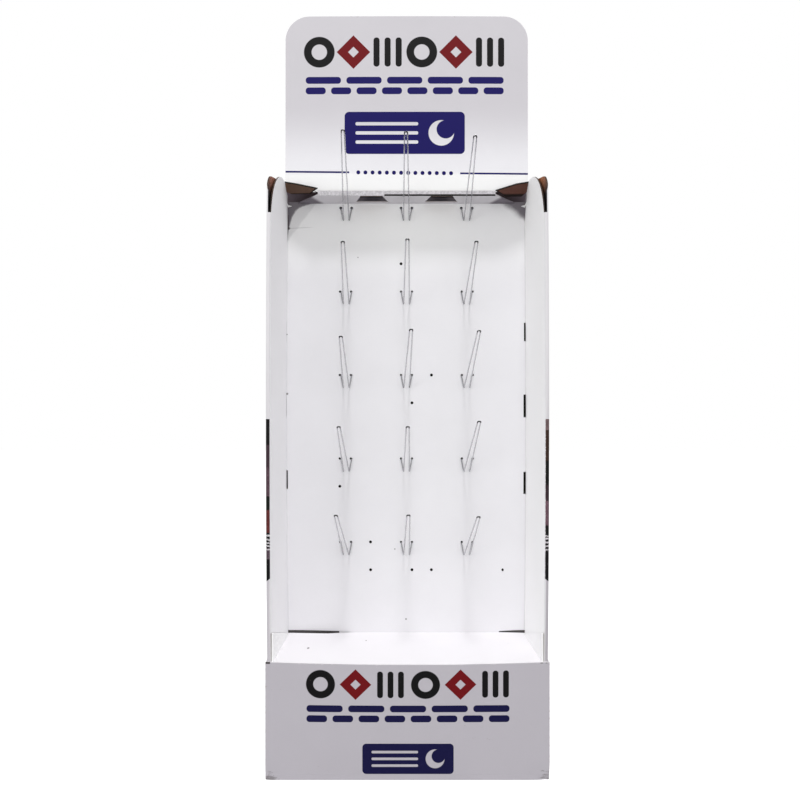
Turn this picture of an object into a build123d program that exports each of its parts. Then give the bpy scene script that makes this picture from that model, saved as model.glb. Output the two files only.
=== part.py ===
from build123d import *
import os
from math import cos, hypot, radians, sin, sqrt

# Free-standing floor display folded from white-lined corrugated board, in millimetres.
# The front faces -Y, +Z is up, and the origin is the middle of the footprint on the floor.

# Corrugated board
board = 3.0
fold_radius = 2.0
fit_gap = 0.3
overrun = 5.0

# Base sleeve that wraps the foot of the stand
base_width = 570.0
base_depth = 216.0
base_height = 236.0
wing_height = 56.0
wing_top_width = 4.0
shelf_gap_depth = 5.0
shelf_gap_left = 150.0
shelf_gap_right = 62.0
shelf_dip_depth = 10.0
shelf_dip_left = 92.0

# Body: hollow side walls, back panel and rear flaps folded from one sheet
wall_hollow = 3.0
wall_top = 1257.0
wall_rear_drop = 35.0
outer_front_drop = 45.0
outer_corner = 45.0
shoulder_depth = 49.7
rear_space = 16.0
back_panel_drop = 27.0
rear_seam = 2.0
rear_corner_width = 44.0

# Flap folded forward off the top of the back panel, with its upturned lip
flap_reach = 48.0
flap_front_width = 398.0
flap_rear_width = 500.0
lip_height = 10.5
crease_cut = 1.5
crease_cut_left = 50.0
crease_cut_right = 190.0
window_offset = 79.0
window_front_width = 48.0
window_rear_width = 76.0
window_margin = 6.0

# Dust flaps folded in over the side walls, the pairs for the left and the right one
dust_reach = 77.0
dust_shoulder_reach = 28.0
dust_tip_setback = (2.5, 8.0)
dust_heel_reach = (58.0, 50.0)
dust_heel_setback = (19.0, 28.0)
dust_root_reach = 12.0
dust_root_setback = (28.0, 34.0)
dust_fold_length = 24.0
dust_droop = 15.0
tongue_reach = 8.5
tongue_height = 2.4

# Header card that stands behind the lip
header_rise = 373.0
header_corner = 54.0
header_clearance = 1.0
header_foot_width = 384.0

# Hook holes on a regular grid in the back panel
hole_diameter = 4.6
die_sides = 8
grid_across = 69.5
grid_down = 64.3
top_row_drop = 14.0
pin_pitch = 25.0
hook_columns = 3
hook_rows = 5
columns_per_hook = 2
rows_per_hook = 3

# Slits in the corner folds between the back panel and the side walls
slit_height = 50.0
slit_width_left = 1.6
slit_width_right = 2.6
slit_top_drops = (279.0, 445.0, 620.0)

# Double-rod hooks
rod = 2.8
hook_drop = 31.0
hook_arm = 212.0
hook_foot_pitch = 13.0
hook_tip_pitch = 6.4
hook_stub = 13.0
hook_sides = 8
hook_pin_ease = 1.9
hook_foot_ease = 5.5
hook_tip_ease = 1.6

# Rise of each arm above level and its turn towards +X, in degrees, by row from the top
hook_rise = (
    (38.0, 36.0, 32.0),
    (24.0, 25.8, 24.0),
    (24.8, 29.6, 28.6),
    (28.3, 28.3, 31.8),
    (32.4, 32.6, 31.6),
)
hook_turn = (
    (2.5, -1.0, -0.4),
    (2.8, 0.0, -0.1),
    (1.6, 2.6, 1.9),
    (0.0, 0.2, 2.5),
    (-2.3, 0.8, 1.9),
)

# Ribs that stand inside the base and carry the shelf
rib_slot_gap = 0.4
rib_cross_offset = 91.0

# Derived planes of the folded sheets
front = -base_depth / 2
rear = base_depth / 2
sleeve_inner_front = front + board
body_front = sleeve_inner_front + fit_gap
body_rear = rear - board - fit_gap
body_width = base_width - 2 * (board + fit_gap)
wall_thickness = 2 * board + wall_hollow
bay_width = body_width - 2 * wall_thickness
back_face = rear - rear_space
back_rear = back_face + board
arc_centre_y = back_rear - shoulder_depth
wall_arc = arc_centre_y - body_front
arc_centre_z = wall_top - wall_arc
spine_top = arc_centre_z + sqrt(wall_arc**2 - (wall_arc - board) ** 2)
outer_panel_x = body_width / 2 - board
wall_rear_top = wall_top - wall_rear_drop
back_panel_top = wall_top - back_panel_drop
header_top = wall_top + header_rise
top_row_height = back_panel_top - top_row_drop
lip_face = back_face - flap_reach
header_face = lip_face + board + fit_gap
header_foot = back_panel_top + fit_gap
rod_radius = rod / 2
leg_plane = back_face - fit_gap - rod_radius
stub_plane = back_rear + fit_gap + rod_radius


def block(x_from, x_to, y_from, y_to, z_from, z_to):
    size = (x_to - x_from, y_to - y_from, z_to - z_from)
    middle = Location(((x_from + x_to) / 2, (y_from + y_to) / 2, (z_from + z_to) / 2))
    return middle * Box(*size)


def side_profile(points, x_from, x_to):
    # A plate or prism drawn in the side view, from Y and Z pairs, between two X planes
    face = make_face(Polyline(*[(x_from, y, z) for y, z in points], close=True))
    return extrude(face, amount=x_to - x_from, dir=(1, 0, 0))


def front_profile(points, y_from, y_to):
    # The same in the front view, from X and Z pairs, between two Y planes
    face = make_face(Polyline(*[(x, y_from, z) for x, z in points], close=True))
    return extrude(face, amount=y_to - y_from, dir=(0, 1, 0))


def plan_profile(points, z_from, z_to):
    # The same in the plan view, from X and Y pairs, between two heights
    face = make_face(Polyline(*[(x, y, z_from) for x, y in points], close=True))
    return extrude(face, amount=z_to - z_from, dir=(0, 0, 1))


def folded_wall(points, z_from, z_to, close=False):
    # Board standing on edge along a plan centre line, rounded at each fold
    line = FilletPolyline(*points, radius=fold_radius, close=close)
    return Pos(0, 0, z_from) * extrude(trace(line, board), amount=z_to - z_from)


def body_walls():
    outer_x = (body_width - board) / 2
    inner_x = (bay_width + board) / 2
    front_y = body_front + board / 2
    back_y = back_face + board / 2
    rear_y = body_rear - board / 2
    half = [
        (rear_seam / 2, rear_y),
        (outer_x, rear_y),
        (outer_x, front_y),
        (inner_x, front_y),
        (inner_x, back_y),
    ]
    mirrored = [(-x, y) for x, y in half]
    return folded_wall(half + mirrored[::-1], 0, wall_top)


def front_corner_waste():
    # Inner panels end in one large arc, cut square across the front folds; outer panels stand fuller
    reach = body_width / 2 + overrun
    behind = body_front + board
    corner = block(-outer_panel_x, outer_panel_x, behind, arc_centre_y, arc_centre_z, wall_top + overrun)
    arc = Pos(0, arc_centre_y, arc_centre_z) * Rot(0, 90, 0) * Cylinder(wall_arc, 2 * reach + overrun)
    fold = block(-outer_panel_x, outer_panel_x, body_front - overrun, behind, spine_top, wall_top + overrun)
    kept = side_profile(
        [
            (body_front, arc_centre_z),
            (body_front, wall_top - outer_front_drop),
            (arc_centre_y, wall_top),
            (arc_centre_y, arc_centre_z),
        ],
        -reach, reach,
    )
    rounded = kept.edges().filter_by(Axis.X).group_by(Axis.Y)[0].sort_by(Axis.Z)[-1]
    kept = fillet(rounded, outer_corner)
    waste = [corner - arc, fold]
    for near, far in ((-reach, -outer_panel_x), (outer_panel_x, reach)):
        waste.append(block(near, far, body_front - overrun, arc_centre_y, arc_centre_z, wall_top + overrun) - kept)
    return waste


def wall_top_waste():
    # What the front corners and the slanting rear shoulders take off both side walls
    reach = body_width / 2 + overrun
    shoulder = [
        (arc_centre_y, wall_top),
        (back_rear, wall_rear_top),
        (body_rear - board, wall_rear_top),
        (body_rear - board, wall_top + overrun),
        (arc_centre_y, wall_top + overrun),
    ]
    rear_corner = [
        (body_width / 2 + overrun, wall_rear_top),
        (body_width / 2 - wall_thickness, wall_rear_top),
        (body_width / 2 - wall_thickness - rear_corner_width, wall_top),
        (body_width / 2 - wall_thickness - rear_corner_width, wall_top + overrun),
        (body_width / 2 + overrun, wall_top + overrun),
    ]
    waste = front_corner_waste()
    for side in (1, -1):
        outline = [(side * x, z) for x, z in rear_corner]
        waste.append(front_profile(outline, body_rear - board - fit_gap, body_rear + overrun))
        near, far = sorted((side * bay_width / 2, side * reach))
        waste.append(side_profile(shoulder, near, far))
    return waste


def top_flap():
    front_half = flap_front_width / 2
    rear_half = flap_rear_width / 2
    outline = [
        (-front_half, lip_face),
        (front_half, lip_face),
        (rear_half, back_face + board / 2),
        (-rear_half, back_face + board / 2),
    ]
    underside = back_panel_top - board
    flap = plan_profile(outline, underside, back_panel_top)
    lip = block(-front_half, front_half, lip_face, lip_face + board, underside, underside + lip_height)
    cut = block(
        -crease_cut_left, crease_cut_right,
        lip_face - overrun, lip_face + crease_cut,
        underside - overrun, underside + crease_cut,
    )
    flap = flap + lip - cut
    for middle in (-window_offset, window_offset):
        window = [
            (middle - window_front_width / 2, lip_face + board),
            (middle + window_front_width / 2, lip_face + board),
            (middle + window_rear_width / 2, back_face - window_margin),
            (middle - window_rear_width / 2, back_face - window_margin),
        ]
        flap -= plan_profile(window, underside - overrun, back_panel_top + overrun)
    return flap


def dust_planes():
    # Right-hand fold along the slanting shoulder: X runs inward, Y rearward and Z down
    fold = Plane(
        origin=(bay_width / 2, arc_centre_y, wall_top),
        x_dir=(-1, 0, 0),
        z_dir=(0, -wall_rear_drop, arc_centre_y - back_rear),
    )
    droop = radians(dust_droop)
    inward = fold.x_dir * cos(droop) + fold.z_dir * sin(droop)
    drooped = Plane(origin=fold.origin, x_dir=inward, z_dir=inward.cross(fold.y_dir))
    return fold, drooped


def dust_flap(side):
    # A strip over the wall, then a pointed tongue that droops into the bay, drawn for the right
    length = hypot(back_rear - arc_centre_y, wall_rear_drop)
    wall_strip = [(-wall_thickness, 0), (0, 0), (0, length), (-wall_thickness, length)]
    tongue = [
        (-board / 2, 0),
        (dust_shoulder_reach, 0),
        (dust_reach, dust_tip_setback[side]),
        (dust_heel_reach[side], dust_heel_setback[side]),
        (dust_root_reach, dust_root_setback[side]),
        (-board / 2, dust_fold_length),
    ]
    flap = Part()
    for plane, outline in zip(dust_planes(), (wall_strip, tongue)):
        face = plane * make_face(Polyline(*outline, close=True))
        flap += extrude(face, amount=board, dir=-plane.z_dir)
    return flap


def corner_tongue():
    inner = bay_width / 2
    outline = [
        (inner, wall_rear_top),
        (inner - tongue_reach, wall_rear_top - tongue_height),
        (inner, wall_rear_top - 2 * tongue_height),
    ]
    return front_profile(outline, back_face - board, back_face)


def hook_hole(x, z):
    # The knife that cuts each small hole has flat sides
    opening = Pos(x, back_face - fit_gap, z) * Rot(90, 0, 0) * RegularPolygon(hole_diameter / 2, die_sides)
    return extrude(opening, amount=board + 2 * fit_gap, dir=(0, 1, 0))


def hook_places():
    # Row, column, X and Z of the middle of each pair of hook holes
    for row in range(hook_rows):
        for column in range(hook_columns):
            across = (column - (hook_columns - 1) / 2) * columns_per_hook * grid_across
            yield row, column, across, top_row_height - row * rows_per_hook * grid_down


def spare_holes():
    # Holes that are pressed out and empty: steps of the grid across and down, and the pin on that spot
    half = pin_pitch / 2
    spots = (
        (0, 2, -half), (0, 7, half), (-2, 10, -half), (-1, 12, -half), (-1, 13, -half),
        (0, 13, half), (1, 13, -half), (3, 13, half), (1, 6, -half),
    )
    return [(across * grid_across + pin, top_row_height - down * grid_down) for across, down, pin in spots]


def corner_slits():
    inner = bay_width / 2
    slits = []
    for drop in slit_top_drops:
        top = back_panel_top - drop
        for near, far in ((-inner, slit_width_left - inner), (inner - slit_width_right, inner)):
            slits.append(block(near, far, back_face - fit_gap, back_rear + fit_gap, top - slit_height, top))
    return slits


def body_shell():
    shell = body_walls()
    inner = bay_width / 2
    shell -= block(-inner, inner, back_face - board, back_rear + fit_gap, back_panel_top, wall_top + overrun)
    shell -= wall_top_waste()
    tongue = corner_tongue()
    shell += [top_flap(), mirror(dust_flap(0), Plane.YZ), dust_flap(1), tongue, mirror(tongue, Plane.YZ)]
    holes = spare_holes()
    for _, _, x, z in hook_places():
        holes += [(x - pin_pitch / 2, z), (x + pin_pitch / 2, z)]
    shell -= [hook_hole(x, z) for x, z in holes]
    shell -= corner_slits()
    return shell


def header_edge_height(x):
    # The header's lower edge clears the drooping dust flap by the fitting gap
    plane = dust_planes()[1]
    up = -plane.z_dir
    start = plane.origin + up * (board + fit_gap)
    return start.Z - (up.X * (x - start.X) + up.Y * (header_face - start.Y)) / up.Z


def header_card():
    half = bay_width / 2 - header_clearance
    foot = header_foot_width / 2
    outline = [
        (-foot, header_foot), (foot, header_foot),
        (foot, header_edge_height(foot)), (half, header_edge_height(half)),
        (half, header_top), (-half, header_top),
        (-half, header_edge_height(half)), (-foot, header_edge_height(foot)),
    ]
    card = front_profile(outline, header_face, header_face + board)
    corners = card.edges().filter_by(Axis.Y).group_by(Axis.Z)[-1]
    card = fillet(corners, header_corner)
    for middle in (-window_offset, window_offset):
        tab_half = window_front_width / 2 - fit_gap
        card += block(
            middle - tab_half, middle + tab_half,
            header_face, header_face + board,
            back_panel_top - board, header_foot + board,
        )
    return card


def shelf():
    half = bay_width / 2 - fit_gap
    reach = back_face - fit_gap
    outline = [
        (-half, front),
        (half, front),
        (half, reach - shelf_gap_depth),
        (half - shelf_gap_right, reach),
        (shelf_gap_left - half, reach),
        (shelf_dip_left - half, reach - shelf_dip_depth),
        (-half, reach - shelf_gap_depth),
    ]
    return plan_profile(outline, base_height - board, base_height)


def shelf_wing():
    # Right-hand wing, folded up along the wall and tapering to nothing at the back
    outer = bay_width / 2 - fit_gap
    outline = [
        (body_front, base_height - board),
        (body_front, base_height + wing_height),
        (body_front + wing_top_width, base_height + wing_height),
        (back_face - shelf_gap_depth - fit_gap, base_height),
        (back_face - shelf_gap_depth - fit_gap, base_height - board),
    ]
    return side_profile(outline, outer - board, outer)


def base_sleeve():
    half_x = (base_width - board) / 2
    half_y = (base_depth - board) / 2
    ring = [(half_x, half_y), (half_x, -half_y), (-half_x, -half_y), (-half_x, half_y)]
    sleeve = folded_wall(ring, 0, base_height, close=True)
    wing = shelf_wing()
    return sleeve + [shelf(), wing, mirror(wing, Plane.YZ)]


rib_front = sleeve_inner_front + fit_gap
rib_rear = back_face - fit_gap
rib_top = base_height - board - fit_gap
rib_middle = (rib_front + rib_rear) / 2


def rib_slot(x, y, z_from, z_to):
    half = board / 2 + rib_slot_gap
    return block(x - half, x + half, y - half, y + half, z_from, z_to)


def rib_long():
    half = bay_width / 2 - fit_gap
    rib = block(-half, half, rib_middle - board / 2, rib_middle + board / 2, 0, rib_top)
    for x in (-rib_cross_offset, rib_cross_offset):
        rib -= rib_slot(x, rib_middle, rib_top / 2, rib_top + overrun)
    return rib


def rib_cross(x):
    rib = block(x - board / 2, x + board / 2, rib_front, rib_rear, 0, rib_top)
    return rib - rib_slot(x, rib_middle, -overrun, rib_top / 2 + rib_slot_gap)


def eased(points, eases):
    # A bent rod's route: each inner corner becomes a short curve that starts and ends its ease away
    route = [points[0]]
    for before, corner, after, (ease, steps) in zip(points, points[1:], points[2:], eases):
        back = (before - corner).normalized() * ease
        ahead = (after - corner).normalized() * ease
        for step in range(steps + 1):
            along = step / steps
            route.append(corner + back * (1 - along) ** 2 + ahead * along**2)
    return route + [points[-1]]


def hook(row, column, x, z):
    rise = radians(hook_rise[row][column])
    turn = radians(hook_turn[row][column])
    foot_z = z - hook_drop
    tip = Vector(
        x + hook_arm * cos(rise) * sin(turn),
        leg_plane - hook_arm * cos(rise) * cos(turn),
        foot_z + hook_arm * sin(rise),
    )
    across = Vector(cos(turn), sin(turn), 0) * (hook_tip_pitch / 2)
    halves = []
    for side in (1, -1):
        pin_x = x + side * pin_pitch / 2
        halves.append([
            Vector(pin_x, stub_plane, z + hook_stub),
            Vector(pin_x, stub_plane, z),
            Vector(pin_x, leg_plane, z),
            Vector(x + side * hook_foot_pitch / 2, leg_plane, foot_z),
            tip + across * side,
        ])
    eases = [(hook_pin_ease, 1), (hook_pin_ease, 1), (hook_foot_ease, 3), (hook_tip_ease, 1)]
    route = eased(halves[0] + halves[1][::-1], eases + eases[::-1])
    section = Plane(origin=route[0], z_dir=(0, 0, -1)) * RegularPolygon(rod / 2, hook_sides)
    return sweep(section, path=Polyline(*route), transition=Transition.RIGHT)


os.makedirs("parts", exist_ok=True)
pieces = {
    "body_shell": body_shell(),
    "header_card": header_card(),
    "base_sleeve": base_sleeve(),
    "rib_long": rib_long(),
    "rib_left": rib_cross(-rib_cross_offset),
    "rib_right": rib_cross(rib_cross_offset),
}
for place in hook_places():
    pieces[f"hook_row{place[0] + 1}_{place[1] + 1}"] = hook(*place)
for name, piece in pieces.items():
    export_step(piece, f"parts/{name}.step")
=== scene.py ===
import math
import bpy
import bmesh
from mathutils import Matrix, Vector, noise
from mathutils.bvhtree import BVHTree
from mathutils.geometry import tessellate_polygon


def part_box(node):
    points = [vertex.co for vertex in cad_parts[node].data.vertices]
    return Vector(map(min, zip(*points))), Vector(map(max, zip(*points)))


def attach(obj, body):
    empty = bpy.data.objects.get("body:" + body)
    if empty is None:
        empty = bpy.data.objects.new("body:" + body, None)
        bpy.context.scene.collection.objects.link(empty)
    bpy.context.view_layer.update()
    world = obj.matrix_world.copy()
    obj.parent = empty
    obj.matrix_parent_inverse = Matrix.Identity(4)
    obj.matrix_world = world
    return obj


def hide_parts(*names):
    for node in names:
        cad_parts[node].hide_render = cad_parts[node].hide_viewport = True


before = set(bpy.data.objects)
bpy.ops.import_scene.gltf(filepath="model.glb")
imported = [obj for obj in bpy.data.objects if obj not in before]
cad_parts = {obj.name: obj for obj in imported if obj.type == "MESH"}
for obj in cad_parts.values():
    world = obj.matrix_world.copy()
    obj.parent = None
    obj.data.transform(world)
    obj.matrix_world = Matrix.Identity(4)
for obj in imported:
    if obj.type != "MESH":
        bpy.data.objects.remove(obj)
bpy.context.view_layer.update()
print("frame loaded")


# A socket that can be added, multiplied and compared, so that shader maths reads as Python expressions
class Signal:
    def __init__(self, graph, socket):
        self.graph = graph
        self.socket = socket

    def maths(self, operation, *values):
        return self.graph.node("Math", {"operation": operation}, *values)

    def __add__(self, other):
        return self.maths("ADD", self, other)

    def __radd__(self, other):
        return self.maths("ADD", other, self)

    def __sub__(self, other):
        return self.maths("SUBTRACT", self, other)

    def __rsub__(self, other):
        return self.maths("SUBTRACT", other, self)

    def __mul__(self, other):
        return self.maths("MULTIPLY", self, other)

    def __rmul__(self, other):
        return self.maths("MULTIPLY", other, self)

    def __truediv__(self, other):
        return self.maths("DIVIDE", self, other)

    def __gt__(self, other):
        return self.maths("GREATER_THAN", self, other)

    def __lt__(self, other):
        return self.maths("LESS_THAN", self, other)

    def __abs__(self):
        return self.maths("ABSOLUTE", self)

    def least(self, other):
        return self.maths("MINIMUM", self, other)

    def most(self, other):
        return self.maths("MAXIMUM", self, other)

    def sine(self):
        return self.maths("SINE", self)

    def root(self):
        return self.maths("SQRT", self)

    def within(self, period):
        return self.maths("FLOORED_MODULO", self, period)

    def floor(self):
        return self.maths("FLOOR", self)

    # How far it lies from the nearest of three places, a step apart
    def fromThree(self, step):
        turn = self / step
        return self - turn.maths("ROUND", turn).most(-1.0).least(1.0) * step

    def ramp(self, low, high, start=0.0, end=1.0):
        settings = {"interpolation_type": "SMOOTHSTEP"}
        return self.graph.node("MapRange", settings, self, low, high, start, end)


# The nodes of one material or of the world: node() adds any node, sets it and gives an output
class Graph:
    def __init__(self, owner):
        owner.use_nodes = True
        self.owner = owner
        self.tree = owner.node_tree
        self.tree.nodes.clear()

    def node(self, kind, settings=None, *values, output=None, **named):
        made = self.tree.nodes.new("ShaderNode" + kind)
        for key, value in (settings or {}).items():
            if key == "stops":
                self.setStops(made.color_ramp, value)
            else:
                setattr(made, key, value)
        pairs = list(zip([socket for socket in made.inputs if socket.enabled], values))
        pairs += [(made.inputs[key.replace("_", " ")], value) for key, value in named.items()]
        for socket, value in pairs:
            if isinstance(value, Signal):
                self.tree.links.new(value.socket, socket)
            elif value is not None:
                if socket.type == "RGBA" and len(value) == 3:
                    value = (*value, 1.0)
                socket.default_value = value
        if not len(made.outputs):
            return None
        shown = [socket for socket in made.outputs if socket.enabled and output in (None, socket.name)]
        return Signal(self, shown[0])

    # Plain bands of colour, each from its own place on
    def setStops(self, ramp, stops):
        while len(ramp.elements) < len(stops):
            ramp.elements.new(0.5)
        for element, (place, colour) in zip(ramp.elements, stops):
            element.position = place
            element.color = (*colour, 1.0)
        ramp.interpolation = "CONSTANT"

    # Where a point of the board was before the board bowed
    def flatPlace(self):
        return self.node("Attribute", {"attribute_name": "flatPlace"}, output="Vector")

    def split(self, vector):
        first = self.node("SeparateXYZ", None, vector)
        return [Signal(self, socket) for socket in first.socket.node.outputs]

    def blend(self, amount, first, second):
        return self.node("Mix", {"data_type": "RGBA"}, amount, first, second)

    # A colour made lighter or darker by a number, which a Math node would turn grey
    def toned(self, colour, tone):
        grey = self.node("CombineXYZ", None, tone, tone, tone)
        return self.node("Mix", {"data_type": "RGBA", "blend_type": "MULTIPLY"}, 1.0, colour, grey)

    def clouds(self, vector, scale, detail=3.0, roughness=0.55):
        return self.node("TexNoise", None, vector, scale, detail, roughness)

    def finish(self, shader, kind="OutputMaterial"):
        self.node(kind, None, shader)
        return self.owner


def newGraph(name):
    return Graph(bpy.data.materials.new(name))


# A colour as a paint program gives it, 0 to 255, in Blender's linear values
def srgb(red, green, blue):
    values = [c / 255 for c in (red, green, blue)]
    return tuple(c / 12.92 if c <= 0.04045 else ((c + 0.055) / 1.055) ** 2.4 for c in values)


# Sizes in metres: the fronts and rears come from the frame
boardThickness = 0.003
bayHalf = 0.2727
backFace = 0.092
skinMiddle = 0.2772  # between the two skins of a side wall
gapMiddle = 0.0985  # between the back panel and the rear panel
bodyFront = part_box("body_shell")[0][1]
baseFront, baseRear = [corner[1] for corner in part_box("base_sleeve")]
headerFront, headerRear = [corner[1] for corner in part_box("header_card")]


# Paper finishes

paper = {
    "whiteBody": srgb(241, 240, 243),
    # painted light: the bay walls are whiter than the body
    "paintedLightWall": srgb(249, 248, 250),
    "whiteOuter": srgb(232, 230, 233),
    # painted shade: the outside skins darken towards their foot, the right one more
    "outerLowShade": srgb(205, 201, 207),
    "outerLowShadeRight": srgb(186, 182, 188),
    # painted light: pure white where the light falls brightest
    "paintedLight": srgb(255, 255, 255),
    # painted light and shade: the header runs from this grey at the top to a brighter white low down
    "whiteHeader": srgb(214, 211, 216),
    "headerPaintedLightLow": srgb(246, 245, 249),
    "whiteBase": srgb(194, 190, 197),
    "whiteShelf": srgb(232, 230, 233),
    # painted shade: the top flap's underside is grey
    "flapShadeGrey": srgb(208, 205, 209),
    "mark": srgb(86, 78, 80),
    "cornerShade": srgb(96, 88, 98),
    "kraft": srgb(124, 94, 70),
    # painted shade on the dust flaps' undersides; painted light and shade in the gap inside each side wall
    "flapShadeKraft": srgb(98, 75, 62),
    "flapShadeKraftRight": srgb(96, 62, 52),
    "gapLitKraft": srgb(172, 112, 90),
    "gapLitKraftRight": srgb(184, 116, 76),
    "gapShadeBlack": srgb(14, 10, 8),
    # painted shade in the hollows: near black, and grey behind the top flap where some light comes in
    "hollow": srgb(26, 20, 18),
    "hollowHigh": srgb(120, 124, 142),
    "hollowSides": srgb(178, 184, 206),
    "hollowCorner": srgb(98, 88, 96),
    "edgeLight": srgb(120, 88, 66),
    "edgeDark": srgb(58, 38, 28),
    # painted shade, near black: flute in the flutes' hollows, a tear and the gap over the shelf; crease in
    # cuts, gaps and round the dust flaps
    "flute": srgb(30, 20, 15),
    "crease": srgb(12, 8, 7),
    "ink": srgb(5, 4, 6),
    "inkRed": srgb(112, 8, 16),
    "inkNavy": srgb(20, 12, 92),
    "inkBaseNavy": srgb(14, 12, 62),
    "rubbedHeader": srgb(168, 160, 156),
    "rubbedSide": srgb(150, 136, 128),
    "rubbedBase": srgb(112, 92, 82),
    "footDirt": srgb(122, 116, 118),
    "crownPale": srgb(226, 222, 226),
    "sideStrokes": srgb(206, 202, 206),
    "roughness": 0.62, "specular": 0.16, "flutePitch": 0.00635,
    "softScale": 9.0, "fineScale": 420.0, "softMottle": 0.07, "fineMottle": 0.03,
}


def paperShader(g, colour):
    named = {"Base_Color": colour, "Roughness": paper["roughness"], "Specular_IOR_Level": paper["specular"]}
    return g.finish(g.node("BsdfPrincipled", None, **named))


# White liner: its tint with soft mottling
def mottled(g, place, tint):
    soft = g.clouds(place, paper["softScale"], 4.0)
    fine = g.clouds(place, paper["fineScale"], 2.0)
    tone = 1.0 + (soft - 0.5) * paper["softMottle"] + (fine - 0.5) * paper["fineMottle"]
    return g.toned(tint, tone)


# A dust flap's outline, measured inward and rearward along its own drooping plane, left and right
dustFlap = {
    "foldAcross": 0.2727, "foldBack": 0.0453, "foldLean": 0.8176, "reachLean": 0.9659, "reachDrift": 0.1543,
    "shoulder": (0.028, 0.0), "tip": ((0.077, 0.0025), (0.077, 0.008)),
    "heel": ((0.058, 0.019), (0.050, 0.028)), "root": ((0.012, 0.028), (0.012, 0.034)),
    "frontWidth": 0.0016, "tipWidth": 0.0024, "heelWidths": (0.0018, 0.0062), "rimFade": (0.7, 1.5),
}


# How far inside the line from start to end a point lies
def fromLine(u, v, start, end):
    length = math.hypot(end[0] - start[0], end[1] - start[1])
    du, dv = (end[0] - start[0]) / length, (end[1] - start[1]) / length
    return (start[0] - u) * dv - (start[1] - v) * du


# 1 on the rim of painted shade along a dust flap's cut edges
def dustRimShade(x, y):
    s = dustFlap
    inward = s["foldAcross"] - abs(x)
    u = inward / s["reachLean"]
    v = (y - s["foldBack"] + inward * s["reachDrift"]) / s["foldLean"]
    rims = []
    for side in (0, 1):
        tip, heel, root = s["tip"][side], s["heel"][side], s["root"][side]
        front = v.least(fromLine(u, v, s["shoulder"], tip)) / s["frontWidth"]
        point = fromLine(u, v, tip, heel) / s["tipWidth"]
        rear = fromLine(u, v, heel, root) / s["heelWidths"][side]
        rims.append(front.least(point).least(rear).ramp(*s["rimFade"], 1.0, 0.0))
    return (x < 0.0) * rims[0] + (x > 0.0) * rims[1]


# Zones of the body's inside, 1 inside and 0 outside
bodyZone = {"flapLow": 1.2165, "flapHigh": 1.2600, "wallGap": 0.2735, "gapRear": 0.098}


def onDustFlap(x, y, z, inner):
    s = bodyZone
    height = (z > s["flapLow"]) * (z < s["flapHigh"])
    return height * (abs(x) < bayHalf) * (abs(x) > inner) * (y < s["gapRear"])


def inWallGap(x, y, z, low):
    return (abs(x) > bodyZone["wallGap"]) * (z > low) * (y < bodyZone["gapRear"])


# Kraft liners: the body's inside with painted light and shade, plain board, and the hollow between back panel
# and rear panel, painted dark as shade
kraftLook = {
    "stretch": (1.0, 1.0, 0.25), "fibreScale": 320.0, "softScale": 14.0,
    "base": 0.86, "fibre": 0.22, "soft": 0.2,
    "flapInner": 0.150, "rimStrength": 0.94, "gapLow": 1.10, "gapFade": (1.176, 1.236),
    "window": 0.079, "windowFade": (0.008, 0.034), "cornerFade": (0.14, 0.20), "hollowFade": (1.188, 1.200),
    "bandLow": 1.2445, "bandHalf": 0.13, "bandStrength": 0.9,
}


# Painted shade: the dust flaps' undersides are darker kraft with near-black rims; painted light and shade:
# the gap inside each side wall falls from lit warm brown to black
def kraftLightAndShade(g, x, y, z):
    s = kraftLook
    gapLit = g.blend(x > 0.0, paper["gapLitKraft"], paper["gapLitKraftRight"])
    gap = g.blend(z.ramp(*s["gapFade"]), paper["gapShadeBlack"], gapLit)
    flapShade = g.blend(x > 0.0, paper["flapShadeKraft"], paper["flapShadeKraftRight"])
    flapShade = g.blend(dustRimShade(x, y) * s["rimStrength"], flapShade, paper["crease"])
    tint = g.blend(onDustFlap(x, y, z, s["flapInner"]), paper["kraft"], flapShade)
    return g.blend(inWallGap(x, y, z, s["gapLow"]), tint, gap)


def plainKraftTint(g, x, y, z):
    return paper["kraft"]


# Painted shade: near black between the walls; grey behind the top flap where some light comes in, darker
# behind the windows and in the corners
def hollowTint(g, x, y, z):
    s = kraftLook
    beside = abs(abs(x) - s["window"]).ramp(*s["windowFade"])
    high = g.blend(beside, paper["hollowHigh"], paper["hollowSides"])
    high = g.blend(abs(x).ramp(*s["cornerFade"]), high, paper["hollowCorner"])
    # Painted shade: a black band along the top behind the middle
    band = (z > s["bandLow"]) * (abs(x) < s["bandHalf"])
    high = g.blend(band * s["bandStrength"], high, paper["crease"])
    return g.blend(z.ramp(*s["hollowFade"]), paper["hollow"], high)


def kraftLiner(name, tintAt):
    g = newGraph(name)
    s = kraftLook
    place = g.flatPlace()
    tint = tintAt(g, *g.split(place))
    stretched = g.node("Mapping", None, place, (0, 0, 0), (0, 0, 0), s["stretch"])
    fibres = g.clouds(stretched, s["fibreScale"], 3.0, 0.7)
    soft = g.clouds(place, s["softScale"], 3.0)
    return paperShader(g, g.toned(tint, s["base"] + fibres * s["fibre"] + (soft - 0.5) * s["soft"]))


edgeLook = {
    "waveReach": 0.34, "waveThick": (0.10, 0.17), "linerThick": (0.40, 0.43), "fibreScale": 600.0,
    "flapInner": 0.190, "creaseHalf": 0.1995, "creaseRear": 0.0470, "creaseHeight": (1.2260, 1.22995),
    "darkness": 0.95, "gapLow": 1.05, "gapFade": (1.160, 1.188), "gapDarkness": 0.9,
}
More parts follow.
